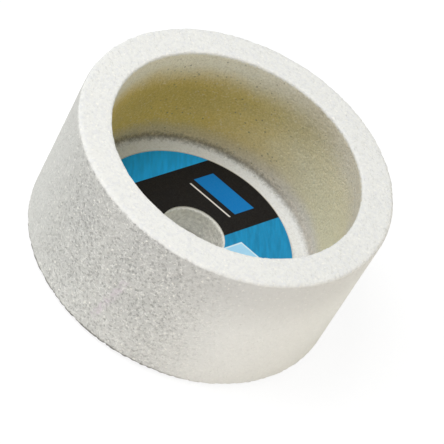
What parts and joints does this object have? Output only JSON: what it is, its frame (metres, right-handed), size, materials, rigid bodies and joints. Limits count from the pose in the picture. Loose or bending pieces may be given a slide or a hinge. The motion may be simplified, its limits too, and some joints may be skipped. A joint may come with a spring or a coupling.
{
  "type": "cup grinding wheel",
  "caption": "Straight cup grinding wheel of white fired abrasive with a bored back and a paper blotter on each side of the back, where the clamping flanges press.",
  "frame": {"origin": "centre of the rear blotter's underside, on the bore axis, where the wheel stands", "axes": "+Z along the bore, from the back towards the open rim; the wheel is round about Z"},
  "size_m": [0.1, 0.1, 0.0488],
  "materials": {
    "abrasive": "open-pored fired white abrasive grain, matt",
    "printed_paper": "blotting paper printed with a teal ground and a black band, satin",
    "plain_paper": "unprinted compressible blotting paper, matt"
  },
  "bodies": {
    "root": {"cup_wheel": "abrasive", "front_blotter": "printed_paper", "rear_blotter": "plain_paper"}
  },
  "joints": []
}
